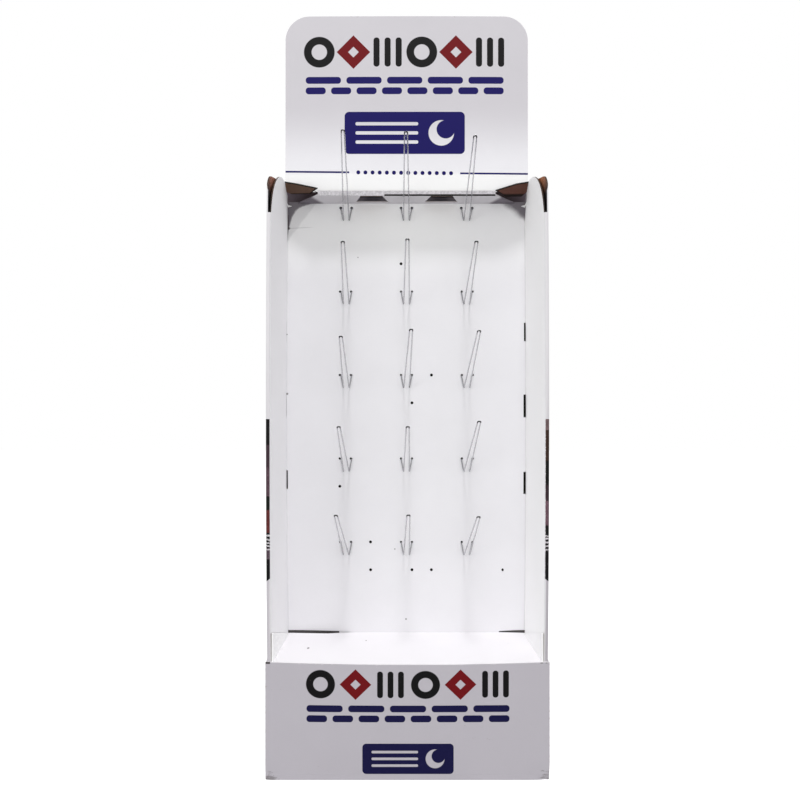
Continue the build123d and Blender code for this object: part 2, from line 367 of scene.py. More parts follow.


# Cut board, on the edge's own UV map: two liners and the wave of the fluting between them, with the flutes'
# hollows painted near black as shade
def cutEdge(name):
    g = newGraph(name)
    s = edgeLook
    along, across = g.split(g.node("UVMap", {"uv_map": "edge"}))[:2]
    crest = (along * (2 * math.pi / paper["flutePitch"])).sine() * s["waveReach"] + 0.5
    flute = abs(across - crest).ramp(*s["waveThick"], 1.0, 0.0)
    solid = flute.most(abs(across - 0.5).ramp(*s["linerThick"]))
    place = g.flatPlace()
    kraft = g.blend(g.clouds(place, s["fibreScale"], 2.0), paper["edgeDark"], paper["edgeLight"])
    colour = g.blend(solid, paper["flute"], kraft)
    # Painted shade: nearly black round the dust flaps, inside the top flap's crease and low in the walls' gap
    x, y, z = g.split(place)
    onFlap = onDustFlap(x, y, z, s["flapInner"])
    creaseHeight = (z > s["creaseHeight"][0]) * (z < s["creaseHeight"][1])
    inCrease = (abs(x) < s["creaseHalf"]) * (y < s["creaseRear"]) * creaseHeight
    colour = g.blend(onFlap.most(inCrease) * s["darkness"], colour, paper["crease"])
    inGap = inWallGap(x, y, z, s["gapLow"]) * z.ramp(*s["gapFade"], 1.0, 0.0)
    return paperShader(g, g.blend(inGap * s["gapDarkness"], colour, paper["crease"]))


# Printed shapes, 1 inside and 0 outside
printSoftness = 0.0006


def bar(x, z, middle, height, half, tall, rounding=0.0):
    dx = (abs(x - middle) - (half - rounding)).most(0.0)
    dz = (abs(z - height) - (tall - rounding)).most(0.0)
    distance = (dx * dx + dz * dz).root() - rounding
    return distance.ramp(0.0, printSoftness, 1.0, 0.0)


def disc(x, z, radius):
    return ((x * x + z * z).root() - radius).ramp(-printSoftness, printSoftness, 1.0, 0.0)


def lozenge(x, z, reach):
    return ((abs(x) + abs(z)) - reach).ramp(0.0, printSoftness, 1.0, 0.0)


# Shares of a shape's half height
rowShapes = {
    "rowTall": 1.2, "ringHole": 0.50, "lozenge": 1.08, "lozengeHole": 0.34,
    "barSpread": 0.72, "barHalf": 0.19, "barTall": 0.94, "barRounding": 0.18,
}


# Rings, lozenges and groups of three upright bars in turn: the black ink and the red ink
def printedRow(x, z, p):
    s = rowShapes
    size = p["shape"]
    step = (x + p["rowHalf"]) / p["rowPitch"]
    kind = step.floor().within(3.0)
    local = (step.within(1.0) - 0.5) * p["rowPitch"]
    up = z - p["rowHeight"]
    inRow = (abs(x) < p["rowHalf"]) * (abs(up) < size * s["rowTall"])
    ring = disc(local, up, size) * (1.0 - disc(local, up, size * s["ringHole"]))
    hole = lozenge(local, up, size * s["lozengeHole"])
    openLozenge = lozenge(local, up, size * s["lozenge"]) * (1.0 - hole)
    near = local.fromThree(size * s["barSpread"])
    barSize = (size * s["barHalf"], size * s["barTall"], size * s["barRounding"])
    bars = bar(near, z, 0.0, p["rowHeight"], *barSize)
    black = (ring * (kind < 0.5) + bars * (kind > 1.5)) * inRow
    red = openLozenge * (kind > 0.5) * (kind < 1.5) * inRow
    return black, red


def dashes(x, z, height, half, tall, pitch, share):
    local = (x + half).within(pitch) - pitch * 0.5
    dash = bar(local, z, 0.0, height, pitch * share * 0.5, tall, tall * 0.9)
    return dash * abs(x).ramp(half - printSoftness / 2, half + printSoftness / 2, 1.0, 0.0)


badgeShapes = {
    "stripeStep": 0.0205, "stripeMiddle": -0.040, "stripeHalf": 0.070, "stripeTall": 0.0034,
    "stripeRound": 0.0030, "moon": 0.082, "moonRadius": 0.0285, "biteAcross": 0.092, "biteUp": 0.008,
    "biteRadius": 0.0205,
}


# A rounded panel with three bare stripes and a bare crescent
def badge(x, z, p):
    s = {key: value * p["badgeScale"] for key, value in badgeShapes.items()}
    panel = bar(x, z, 0.0, p["badgeHeight"], p["badgeHalf"], p["badgeTall"], p["badgeRound"])
    up = z - p["badgeHeight"]
    near = up.fromThree(s["stripeStep"])
    stripe = bar(x, near, s["stripeMiddle"], 0.0, s["stripeHalf"], s["stripeTall"], s["stripeRound"])
    moon = disc(x - s["moon"], up, s["moonRadius"])
    moon = moon * (1.0 - disc(x - s["biteAcross"], up - s["biteUp"], s["biteRadius"]))
    return panel * (1.0 - stripe.most(moon))


# Rows and lines are given as height, half width, half height, pitch and inked share
headerPrint = {
    "middle": -0.0045, "rowHeight": 1.5498, "rowPitch": 0.0766, "rowHalf": 0.2298, "shape": 0.0345,
    "upperDashes": (1.4865, 0.2280, 0.0074, 0.0912, 0.86),
    "lowerDashes": (1.4630, 0.2280, 0.0074, 0.0570, 0.78),
    "badgeHeight": 1.3685, "badgeHalf": 0.1345, "badgeTall": 0.0470, "badgeRound": 0.0100, "badgeScale": 1.0,
    "ruleHeight": 1.2790, "ruleTall": 0.0017, "ruleBreak": 0.1240, "ruleTilt": 0.0092,
    "dots": (0.0, 0.1120, 0.0042, 0.0160, 0.50), "paintedLightFade": (1.275, 1.440), "footHighlightFade": (1.272, 1.282),
    "rubScale": 120.0, "rimAcross": (0.2660, 0.2717), "rimHigh": (1.622, 1.630), "rimGain": 0.16,
    "rubFade": (0.74, 0.84), "rubStrength": 0.45,
}


def inkOver(g, colour, front, black, red, navy, navyInk):
    inked = g.blend(black * front, colour, paper["ink"])
    inked = g.blend(red * front, inked, paper["inkRed"])
    return g.blend(navy * front, inked, navyInk)


def printedHeader(name):
    g = newGraph(name)
    p = headerPrint
    place = g.flatPlace()
    x, y, z = g.split(place)
    # Painted light: the header's white is grey at the top, brighter low down and pure white at its foot
    tint = g.blend(z.ramp(*p["paintedLightFade"]), paper["headerPaintedLightLow"], paper["whiteHeader"])
    tint = g.blend(z.ramp(*p["footHighlightFade"], 1.0, 0.0), tint, paper["paintedLight"])
    across = x - p["middle"]
    black, red = printedRow(across, z, p)
    # The thin line is broken by a row of dots
    level = z + across * p["ruleTilt"] - p["ruleHeight"]
    rule = abs(level).ramp(p["ruleTall"], p["ruleTall"] + printSoftness, 1.0, 0.0)
    rule = rule * abs(across).ramp(p["ruleBreak"], p["ruleBreak"] + printSoftness)
    navy = dashes(across, z, *p["upperDashes"]).most(dashes(across, z, *p["lowerDashes"]))
    navy = navy.most(badge(across, z, p)).most(rule).most(dashes(across, level, *p["dots"]))
    front = y < (headerFront + headerRear) / 2
    inked = inkOver(g, mottled(g, place, tint), front, black, red, navy, paper["inkNavy"])
    nearRim = abs(x).ramp(*p["rimAcross"]).most(z.ramp(*p["rimHigh"]))
    rub = (g.clouds(place, p["rubScale"], 4.0, 0.7) + nearRim * p["rimGain"]).ramp(*p["rubFade"])
    return paperShader(g, g.blend(rub * p["rubStrength"], inked, paper["rubbedHeader"]))


basePrint = {
    "middle": 0.0010, "rowHeight": 0.1940, "rowPitch": 0.0700, "rowHalf": 0.2100, "shape": 0.0290,
    "upperDashes": (0.1440, 0.2085, 0.0066, 0.0834, 0.86),
    "lowerDashes": (0.1235, 0.2085, 0.0066, 0.0521, 0.78),
    "badgeHeight": 0.0425, "badgeHalf": 0.0910, "badgeTall": 0.0300, "badgeRound": 0.0075, "badgeScale": 0.66,
    "sideSkin": 0.2840, "frontSkin": 0.0012, "shelfLow": 0.2352, "wings": (0.2685, 0.2765), "wingLow": 0.2362,
}

# Scuffs gather at the foot and along the upright folds; the top fold is paler in patches, and a tear and two
# chips are painted near black as shade
baseWear = {
    "scratchTurn": (0, 0.5, 0), "scratchStretch": (1.0, 1.0, 2.6), "scratchScale": 60.0, "strength": 0.7,
    "footHigh": 0.034, "footAcross": (0.238, 0.285), "footGain": 0.34, "footFade": (0.70, 0.84),
    "foldAcross": (0.2815, 0.2850), "foldDepth": (0.002, 0.010), "foldGain": 0.20, "foldFade": (0.66, 0.82),
    "crownScale": 45.0, "crownHigh": (0.2325, 0.2352), "crownDepth": 0.004, "crownGain": 0.16,
    "crownFade": (0.64, 0.74), "crownLow": 0.229, "crownStrength": 0.5,
    "shelfSpots": ((-0.2110, -0.0210, 0.0026), (-0.0900, 0.0300, 0.0014)), "spotStrength": 0.75,
    "nick": (-0.2803, 0.2345, 0.0052, 0.0019, 0.0010), "chips": ((0.2685, 0.0030), (0.2781, 0.0024)),
    "chipHeight": 0.2342, "chipFlat": 2.2, "chipShare": 0.6, "nickStrength": 0.9,
}


def baseWornAndShaded(g, x, y, z, place, front, colour):
    s = baseWear
    turned = g.node("Mapping", None, place, (0, 0, 0), s["scratchTurn"], s["scratchStretch"])
    scratch = g.clouds(turned, s["scratchScale"], 5.0, 0.7)
    atFoot = z.ramp(0.0, s["footHigh"], 1.0, 0.0) * abs(x).ramp(*s["footAcross"])
    dirt = (scratch + atFoot * s["footGain"]).ramp(*s["footFade"])
    foldDepth = [baseFront + depth for depth in s["foldDepth"]]
    atFold = abs(x).ramp(*s["foldAcross"]) * y.ramp(*foldDepth, 1.0, 0.0)
    rub = (scratch + atFold * s["foldGain"]).ramp(*s["foldFade"])
    atCrown = z.ramp(*s["crownHigh"]) * (y < baseFront + s["crownDepth"])
    crown = (g.clouds(place, s["crownScale"], 4.0, 0.7) + atCrown * s["crownGain"]).ramp(*s["crownFade"])
    crown = crown * front * (z > s["crownLow"])
    worn = g.blend(dirt * s["strength"], colour, paper["footDirt"])
    worn = g.blend(rub * s["strength"], worn, paper["rubbedBase"])
    worn = g.blend(crown * s["crownStrength"], worn, paper["crownPale"])
    for spotAcross, spotBack, radius in s["shelfSpots"]:
        spot = disc(x - spotAcross, (y - spotBack) * 0.5, radius) * (z > basePrint["shelfLow"])
        worn = g.blend(spot * s["spotStrength"], worn, paper["mark"])
    # Painted shade: a tear and two chips at the top of the front are near black
    nick = bar(x, z, *s["nick"])
    for chipAcross, radius in s["chips"]:
        chip = disc(x - chipAcross, (z - s["chipHeight"]) * s["chipFlat"], radius)
        nick = nick.most(chip * s["chipShare"])
    return g.blend(nick * front * s["nickStrength"], worn, paper["flute"])


def printedBase(name):
    g = newGraph(name)
    p = basePrint
    place = g.flatPlace()
    x, y, z = g.split(place)
    inside = (abs(x) < p["sideSkin"]) * (y > baseFront + p["frontSkin"]) * (y < baseRear - p["frontSkin"])
    tint = g.blend(inside.most(z > p["shelfLow"]), paper["whiteBase"], paper["whiteShelf"])
    # Painted highlight: the wings standing above the shelf are pure white
    onWing = (abs(x) > p["wings"][0]) * (abs(x) < p["wings"][1]) * (z > p["wingLow"])
    tint = g.blend(onWing, tint, paper["paintedLight"])
    across = x - p["middle"]
    black, red = printedRow(across, z, p)
    navy = dashes(across, z, *p["upperDashes"]).most(dashes(across, z, *p["lowerDashes"]))
    navy = navy.most(badge(across, z, p))
    front = y < baseFront + p["frontSkin"]
    inked = inkOver(g, mottled(g, place, tint), front, black, red, navy, paper["inkBaseNavy"])
    return paperShader(g, baseWornAndShaded(g, x, y, z, place, front, inked))


# The body's white liner: where painted light and shade change its white, and the rough fold of the lip
wallTones = {
    "bayWall": (0.2724, 0.2730), "flapLow": 1.2262, "flapHalf": 0.2500, "flapRear": 0.0925,
    "highFade": (1.03, 1.17), "rightFade": (0.04, 0.20), "rightLoss": 0.4, "highRear": 0.0985,
    "outer": 0.2732, "outerStrip": 0.2754, "outerFade": (0.30, 0.95), "outerTop": (1.204, 1.213),
    "lipScale": 260.0, "lipRough": (0.35, 0.65, -0.22, 0.16), "lipRear": 0.0475, "lipHalf": 0.21,
}


def wallLightAndShade(g, x, y, z, onFlap):
    s = wallTones
    bayWall = (abs(x) > s["bayWall"][0]) * (abs(x) < s["bayWall"][1])
    # Painted light: the back panel and all in front of it turn whiter towards the top, less so on the right
    high = z.ramp(*s["highFade"]) * (1.0 - x.ramp(*s["rightFade"]) * s["rightLoss"]) * (y < s["highRear"])
    tint = g.blend(high, paper["whiteBody"], paper["paintedLight"])
    # Painted light: the bay walls are whiter than the body, the right one pure white
    tint = g.blend(bayWall, tint, g.blend(x > 0.0, paper["paintedLightWall"], paper["paintedLight"]))
    # Painted shade: the outside skins darken towards their foot, the right one more, but not on the strip by
    # the front fold
    paintedOuterShade = g.blend(x > 0.0, paper["outerLowShade"], paper["outerLowShadeRight"])
    outer = g.blend(z.ramp(*s["outerFade"]).most(abs(x) < s["outerStrip"]), paintedOuterShade, paper["whiteOuter"])
    # Painted highlight: the outside skins turn pure white at their top
    outer = g.blend(z.ramp(*s["outerTop"]), outer, paper["paintedLight"])
    tint = g.blend(abs(x) > s["outer"], tint, outer)
    # Painted shade: the top flap's underside is grey
    return g.blend(onFlap, tint, paper["flapShadeGrey"])


# Deep shade in the bay's upper corners, under the dust flaps
# It ends in a straight line on the right and in an arc on the left
shadeEdge = {
    "top": 1.2290, "backGain": 1.2, "ragScale": 60.0, "strength": 0.88,
    "rightGains": (0.62, 0.78, 0.012), "rightFade": (0.022, 0.040),
    "leftStarts": (0.0075, 0.008), "leftRag": 0.00022, "leftFade": (0.00058, 0.00084),
    "haloGains": (0.55, 0.40, 0.006), "haloFade": (0.0335, 0.0380), "haloStrength": 0.20,
    "tongueRear": 0.0917, "tongueHeight": (1.2165, 1.2225), "tongueInner": 0.262,
    "wallOuter": 0.2730, "wallRear": 0.0925,
    "flapStart": 0.189, "flapRear": 0.095, "flapSlope": 0.56, "flapFade": (-0.006, 0.010),
}


def cornerShade(g, x, y, z, place, onFlap):
    s = shadeEdge
    inward = (bayHalf - abs(x)).most(0.0)
    down = (s["top"] - z).most(0.0)
    back = (backFace - y).most(0.0) * s["backGain"]
    ragged = g.clouds(place, s["ragScale"], 3.0) - 0.5
    edges = []
    for gains, fade in ((s["rightGains"], s["rightFade"]), (s["haloGains"], s["haloFade"])):
        distance = inward * gains[0] + down * gains[1] + back + ragged * gains[2]
        edges.append(distance.ramp(*fade, 1.0, 0.0))
    curve = (inward + s["leftStarts"][0] + back) * (down + back + s["leftStarts"][1])
    leftShade = (curve + ragged * s["leftRag"]).ramp(*s["leftFade"], 1.0, 0.0)
    shade = (x > 0.0) * edges[0] + (x < 0.0) * leftShade.most(edges[1] * s["haloStrength"])
    tongueHeight = (z > s["tongueHeight"][0]) * (z < s["tongueHeight"][1])
    tongue = (y < s["tongueRear"]) * tongueHeight * (abs(x) > s["tongueInner"])
    onWall = (abs(x) < s["wallOuter"]) * (y < s["wallRear"]) * (1.0 - onFlap) * (1.0 - tongue)
    underFlap = (abs(x) - s["flapStart"] - (s["flapRear"] - y) * s["flapSlope"]).ramp(*s["flapFade"])
    return (shade * onWall).most(underFlap * onFlap) * s["strength"]


# The sides' printed field: bands of colour from its foot up, as shares of its height
sidePrint = {
    "low": 0.396, "high": 0.722, "mitre": 0.75, "outerSkin": 0.2817, "outside": (0.2735, 0.2742),
    "depth": 0.1775, "frontFold": 0.002, "leftRim": 0.2730, "rightRim": 0.2740,
    "tear": 0.0052, "tearScale": 420.0, "tearMiddle": 0.46,
    "wobble": 0.030, "wobbleScale": 34.0, "drift": 0.10, "driftScale": 7.0, "driftDepth": (-0.10, -0.04),
    "leftBands": (
        (0.00, srgb(10, 10, 12)), (0.134, srgb(84, 68, 78)), (0.207, srgb(22, 20, 22)),
        (0.30, srgb(98, 44, 44)), (0.441, srgb(16, 20, 16)), (0.52, srgb(88, 66, 76)),
        (0.70, srgb(62, 46, 54)), (0.84, srgb(14, 13, 15)),
    ),
    "rightBands": (
        (0.00, srgb(10, 10, 12)), (0.184, srgb(34, 30, 34)), (0.29, srgb(12, 12, 12)),
        (0.345, srgb(106, 80, 90)), (0.499, srgb(52, 38, 44)), (0.59, srgb(10, 12, 10)),
        (0.745, srgb(58, 40, 32)), (0.93, srgb(112, 92, 94)),
    ),
    "strokePitch": (900.0, 300.0, 16.0), "strokeCut": 0.20, "strokeBand": (0.195, 0.29),
    "speckleScale": 240.0, "speckle": (0.40, 0.72, 0.80, 1.5),
    "rubScale": 90.0, "rubAcross": (0.2806, 0.2817), "rubDepth": (0.002, 0.008),
    "rubHeight": (0.25, 0.62, 0.16, 0.0), "rubFade": (0.70, 0.84), "rubStrength": 0.8,
}


# The field bleeds round on to the front folds, where its edge is torn and rubbed
def sideField(g, x, y, z, place, colour):
    p = sidePrint
    outside = abs(x).ramp(*p["outside"])
    mitred = z + (abs(x) - p["outerSkin"]) * p["mitre"]
    inField = (z > p["low"]) * (z < p["high"]) * (mitred > p["low"])
    inField = inField * outside * (y < bodyFront + p["depth"])
    torn = (g.clouds(place, p["tearScale"], 3.0) - p["tearMiddle"]) * p["tear"]
    rim = (x > 0.0) * (p["rightRim"] - p["leftRim"]) + p["leftRim"]
    inField = inField * ((abs(x) + torn) > rim).most(y > bodyFront + p["frontFold"])
    cloudy = g.clouds(place, p["wobbleScale"], 5.0, 0.65)
    drift = (g.clouds(place, p["driftScale"], 1.0) - 0.5) * p["drift"] * y.ramp(*p["driftDepth"])
    level = (z - p["low"]) / (p["high"] - p["low"]) + ((cloudy - 0.5) * p["wobble"] + drift)
    leftBands = g.node("ValToRGB", {"stops": p["leftBands"]}, level)
    bands = g.blend(x > 0.0, leftBands, g.node("ValToRGB", {"stops": p["rightBands"]}, level))
    upward, rearward, bent = p["strokePitch"]
    strokes = (z * upward + y * rearward + cloudy * bent).sine() > p["strokeCut"]
    strokes = strokes * (level > p["strokeBand"][0]) * (level < p["strokeBand"][1])
    bands = g.blend(strokes, bands, paper["sideStrokes"])
    bands = g.toned(bands, g.clouds(place, p["speckleScale"], 3.0, 0.7).ramp(*p["speckle"]))
    inked = g.blend(inField, colour, bands)
    rubDepth = [bodyFront + depth for depth in p["rubDepth"]]
    atFold = abs(x).ramp(*p["rubAcross"]) * y.ramp(*rubDepth, 1.0, 0.0) * z.ramp(*p["rubHeight"])
    rub = (g.clouds(place, p["rubScale"], 4.0, 0.7) + atFold).ramp(*p["rubFade"])
    return g.blend(rub * outside * p["rubStrength"], inked, paper["rubbedSide"])


# The back panel's marks: a cracked left fold, a faint crease, painted shade along the corner folds, spots and
# painted shade in the gap over the shelf
backMarks = {
    "faceDepth": 0.0016, "half": 0.2727, "crackHalf": 0.2730,
    "crackInner": -0.2706, "crackHeight": (1.166, 1.200), "crackStrength": 0.75,
    "creaseHeight": 1.1690, "creaseStart": 0.27, "creaseSlope": 0.05, "creaseWide": (0.0004, 0.0016),
    "creaseFade": (-0.235, -0.205, 0.22, 0.0),
    "foldFade": (0.2698, 0.2722), "foldShadeStrength": 0.10, "foldShadeMoreRight": 0.08,
    "spots": (
        (-0.0011, 0.2662, 0.0018), (-0.0265, 0.4280, 0.0014), (-0.1110, 1.1020, 0.0012),
        (-0.2700, 1.1690, 0.0030), (-0.2706, 0.7868, 0.0024), (-0.2718, 0.9240, 0.0014),
    ),
    "spotStrength": 0.75, "gapLeft": (-0.262, -0.120, 0.0026, 0.0), "gapRight": (0.196, 0.262, 0.0, 0.0024),
    "gapFoot": 0.2382, "gapLeast": 0.0004, "gapStrength": 0.9,
}


def backMarked(g, x, y, z, colour):
    s = backMarks
    onFace = abs(y - backFace) < s["faceDepth"]
    nearFace = onFace * (abs(x) < s["crackHalf"])
    onBack = onFace * (abs(x) < s["half"])
    crack = (x < s["crackInner"]) * (z > s["crackHeight"][0]) * (z < s["crackHeight"][1]) * nearFace
    marked = g.blend(crack * s["crackStrength"], colour, paper["mark"])
    crease = abs(z - s["creaseHeight"] - (x + s["creaseStart"]) * s["creaseSlope"])
    crease = crease.ramp(*s["creaseWide"], 1.0, 0.0) * nearFace
    marked = g.blend(crease * x.ramp(*s["creaseFade"]), marked, paper["mark"])
    # Painted shade: a faint dark line along each corner fold, darker on the right
    foldShade = abs(x).ramp(*s["foldFade"]) * ((x > 0.0) * s["foldShadeMoreRight"] + s["foldShadeStrength"])
    marked = g.blend(foldShade * onBack, marked, paper["mark"])
    for spotAcross, spotUp, radius in s["spots"]:
        spot = disc(x - spotAcross, z - spotUp, radius) * onBack
        marked = g.blend(spot * s["spotStrength"], marked, paper["mark"])
    # Painted shade: the gap over the shelf is near black
    gapTall = x.ramp(*s["gapLeft"]).most(x.ramp(*s["gapRight"]))
    gap = (z < gapTall + s["gapFoot"]) * (gapTall > s["gapLeast"])
    return g.blend(gap * onBack * s["gapStrength"], marked, paper["flute"])


def printedWalls(name):
    g = newGraph(name)
    s = wallTones
    place = g.flatPlace()
    x, y, z = g.split(place)
    onFlap = (z > s["flapLow"]) * (abs(x) < s["flapHalf"]) * (y < s["flapRear"])
    colour = mottled(g, place, wallLightAndShade(g, x, y, z, onFlap))
    onLip = (z > s["flapLow"]) * (y < s["lipRear"]) * (abs(x) < s["lipHalf"])
    rough = g.clouds(place, s["lipScale"], 4.0, 0.75).ramp(*s["lipRough"])
    colour = g.toned(colour, 1.0 + rough * onLip)
    colour = g.blend(cornerShade(g, x, y, z, place, onFlap), colour, paper["cornerShade"])
    colour = sideField(g, x, y, z, place, colour)
    return paperShader(g, backMarked(g, x, y, z, colour))


rodLook = {
    "clear": srgb(208, 208, 211), "paintedShadeDark": srgb(10, 10, 12), "hazeScale": 120.0, "haze": 0.12,
    "roughness": 0.03, "transmission": 0.86, "ior": 1.49,
}


# Bent clear rod, painted dark as shade at its tip bend and where it runs inside a hole
def clearPlastic(name):
    g = newGraph(name)
    s = rodLook
    haze = g.clouds(g.node("TexCoord", output="Object"), s["hazeScale"], 2.0)
    bendShade = g.node("Attribute", {"attribute_name": "bendShade"}, output="Fac")
    named = {
        "Base_Color": g.blend(bendShade, s["clear"], s["paintedShadeDark"]),
        "Roughness": haze * s["haze"] + s["roughness"],
        "Transmission_Weight": s["transmission"],
        "IOR": s["ior"],
    }
    return g.finish(g.node("BsdfPrincipled", None, **named))


materials = {
    "walls": printedWalls("printedWalls"),
    "kraft": kraftLiner("kraftLiner", kraftLightAndShade),
    "plainKraft": kraftLiner("plainKraftLiner", plainKraftTint),
    "hollow": kraftLiner("hollowLiner", hollowTint),
    "edge": cutEdge("cutEdge"),
    "header": printedHeader("printedHeader"),
    "base": printedBase("printedBase"),
    "plastic": clearPlastic("clearPlastic"),
}
print("materials made")


# Folded board, taken from the solids: white liner outside, kraft inside, raw edges where it is cut

whiteSide, kraftSide, cutSide, hollowSide = 0, 1, 2, 3
facing = 0.5  # a face looks along an axis when this much of its normal does
boardMesh = {"linerReach": 1.25, "rayLength": 0.02, "rayLift": 1e-5, "flatAngle": 0.5, "smoothAngle": 32}


def asBuilt(co):
    return Vector()


# A point well inside a face, whatever its outline: the middle of its largest triangle
def innerPoint(face):
    corners = [vert.co for vert in face.verts]
    if len(corners) == 3:
        return (corners[0] + corners[1] + corners[2]) / 3
    best, bestArea = face.calc_center_median(), 0.0
    for triple in tessellate_polygon([corners]):
        a, b, c = (corners[index] for index in triple)
        area = (b - a).cross(c - a).length
        if area > bestArea:
            best, bestArea = (a + b + c) / 3, area
    return best


# A face is a liner where the board is one thickness deep behind it
def markLiners(bm):
    s = boardMesh
    tree = BVHTree.FromBMesh(bm)
    liner = bm.faces.layers.int.new("liner")
    for face in bm.faces:
        inside = innerPoint(face)
        hit = tree.ray_cast(inside - face.normal * s["rayLift"], -face.normal, s["rayLength"])
        depth = (hit[0] - inside).length if hit[0] is not None else 1.0
        face[liner] = 1 if depth < boardThickness * s["linerReach"] else 0
    return liner


# Each face gets its finish, and a cut edge also a map that runs from liner to liner
def finishFaces(bm, liner, paperSide):
    uv = bm.loops.layers.uv.new("edge")
    for face in bm.faces:
        finish = paperSide(innerPoint(face), face.normal, face[liner])
        if finish is not None:
            face.material_index = finish
            continue
        face.material_index = cutSide
        across = None
        for edge in face.edges:
            for other in edge.link_faces:
                square = abs(other.normal.dot(face.normal)) < facing
                if other is not face and other[liner] and square:
                    across = other.normal.copy()
        across = across or face.normal.orthogonal()
        along = face.normal.cross(across).normalized()
        reach = [vert.co.dot(across) for vert in face.verts]
        low, high = min(reach), max(reach)
        for loop in face.loops:
            co = loop.vert.co
            loop[uv].uv = (co.dot(along), (co.dot(across) - low) / max(high - low, 1e-6))


# Cuts across each axis, so that the flat board can bow
def gridCuts(bm, gridStep, extraCuts):
    for axis, step in enumerate(gridStep):
        if not step:
            continue
        values = [vert.co[axis] for vert in bm.verts]
        direction = [0, 0, 0]
        direction[axis] = 1
        count = int((max(values) - min(values)) / step)
        levels = [min(values) + (max(values) - min(values)) * index / count for index in range(1, count)]
        levels += [level for cutAxis, level in extraCuts if cutAxis == axis]
        for level in levels:
            middle = [0, 0, 0]
            middle[axis] = level
            everything = bm.verts[:] + bm.edges[:] + bm.faces[:]
            bmesh.ops.bisect_plane(bm, geom=everything, plane_co=middle, plane_no=direction, dist=1e-6)


def boardPiece(name, node, paperSide, whiteName, gridStep, bend, extraCuts=(), reshape=asBuilt):
    mesh = bpy.data.meshes.new(name)
    bm = bmesh.new()
    bm.from_mesh(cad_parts[node].data)
    bmesh.ops.remove_doubles(bm, verts=bm.verts, dist=1e-5)
    flatAngle = math.radians(boardMesh["flatAngle"])
    bmesh.ops.dissolve_limit(bm, angle_limit=flatAngle, verts=bm.verts, edges=bm.edges)
    for vert in bm.verts:
        vert.co += reshape(vert.co)
    finishFaces(bm, markLiners(bm), paperSide)
    gridCuts(bm, gridStep, extraCuts)
    flat = bm.verts.layers.float_vector.new("flatPlace")
    for vert in bm.verts:
        vert[flat] = vert.co
        vert.co += bend(vert.co)
    smoothAngle = math.radians(boardMesh["smoothAngle"])
    for edge in bm.edges:
        edge.smooth = len(edge.link_faces) == 2 and edge.calc_face_angle(0) < smoothAngle
    for face in bm.faces:
        face.smooth = True
    bm.to_mesh(mesh)
    bm.free()
    for key in (whiteName, "kraft" if node == "body_shell" else "plainKraft", "edge", "hollow"):
        mesh.materials.append(materials[key])
    addPiece(name, mesh, node)


def addPiece(name, mesh, node):
    piece = bpy.data.objects.new(name, mesh)
    bpy.context.scene.collection.objects.link(piece)
    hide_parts(node)
    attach(piece, "root")


def wave(co, scale, seed):
    return noise.noise(Vector((co.x * scale + seed, co.y * scale, co.z * scale)))


# A number held between 0 and 1
def clamped(value):
    return min(1.0, max(0.0, value))


# Slits and slit feet go from the top one down; a hook's hole is every second across and every third down
bodyTrim = {
    "rearDepth": 0.101, "taper": 0.228, "taperTop": (1.256, 0.230), "taperFoot": (1.222, 0.2727),
    "taperNear": (0.0006, 0.0008), "corner": 0.2786,
    "panel": (0.0915, 0.0955), "slitAcross": (0.2695, 0.2730), "slitHeight": (0.55, 0.96),
    "slitParts": (0.88, 0.70), "slitMouth": 0.2716, "slitFeet": (0.901, 0.735, 0.560), "footNear": 0.002,
    "leftSlits": (-0.00145, -0.0011, 0.0017), "rightSlits": (0.0016, 0.0030, 0.0030),
    "leftLift": (0.0, 0.0, 0.0070), "rightLift": (0.0075, -0.0025, -0.0048), "rightDrop": 0.0036,
    "creaseRear": 0.0462, "creaseHalf": 0.1985, "creaseHeight": (1.2265, 1.2290), "creaseRight": 0.185,
    "creaseEnd": 0.1984, "creaseGrow": 0.0012, "creaseBack": 0.0452, "creaseTop": 1.2280,
    "holesHalf": 0.222, "across": 0.0695, "down": 0.0643, "pin": 0.0125, "topRow": 1.2160,
    "holeReach": 0.003, "widenTop": 0.50, "widen": 0.16, "widenEmpty": 0.50,
}


def trimSlit(co):
    s = bodyTrim
    which = 0 if co.z > s["slitParts"][0] else (1 if co.z > s["slitParts"][1] else 2)
    wide, lift = (s["leftSlits"], s["leftLift"]) if co.x < 0 else (s["rightSlits"], s["rightLift"])
    across = wide[which] if abs(co.x) < s["slitMouth"] else 0.0
    atFoot = min(abs(co.z - foot) for foot in s["slitFeet"]) < s["footNear"]
    drop = -s["rightDrop"] if which == 2 and co.x > 0 else 0.0
    return Vector((across if co.x < 0 else -across, 0, lift[which] if atFoot else drop))


def trimCrease(co):
    s = bodyTrim
    atEnd = s["creaseEnd"] - co.x if co.x > s["creaseRight"] else 0.0
    back = s["creaseGrow"] if co.y > s["creaseBack"] else 0.0
    return Vector((atEnd, back, s["creaseGrow"] if co.z > s["creaseTop"] else 0.0))


def trimHole(co):
    s = bodyTrim
    columnStep = round(co.x / s["across"])
    column = columnStep * s["across"]
    column += math.copysign(s["pin"], co.x - column)
    rowStep = round((s["topRow"] - co.z) / s["down"])
    away = Vector((co.x - column, 0, co.z - (s["topRow"] - rowStep * s["down"])))
    if away.length >= s["holeReach"]:
        return Vector()
    if columnStep % 2 or rowStep % 3:
        return away * s["widenEmpty"]
    return away * s["widenTop" if rowStep < 3 else "widen"]


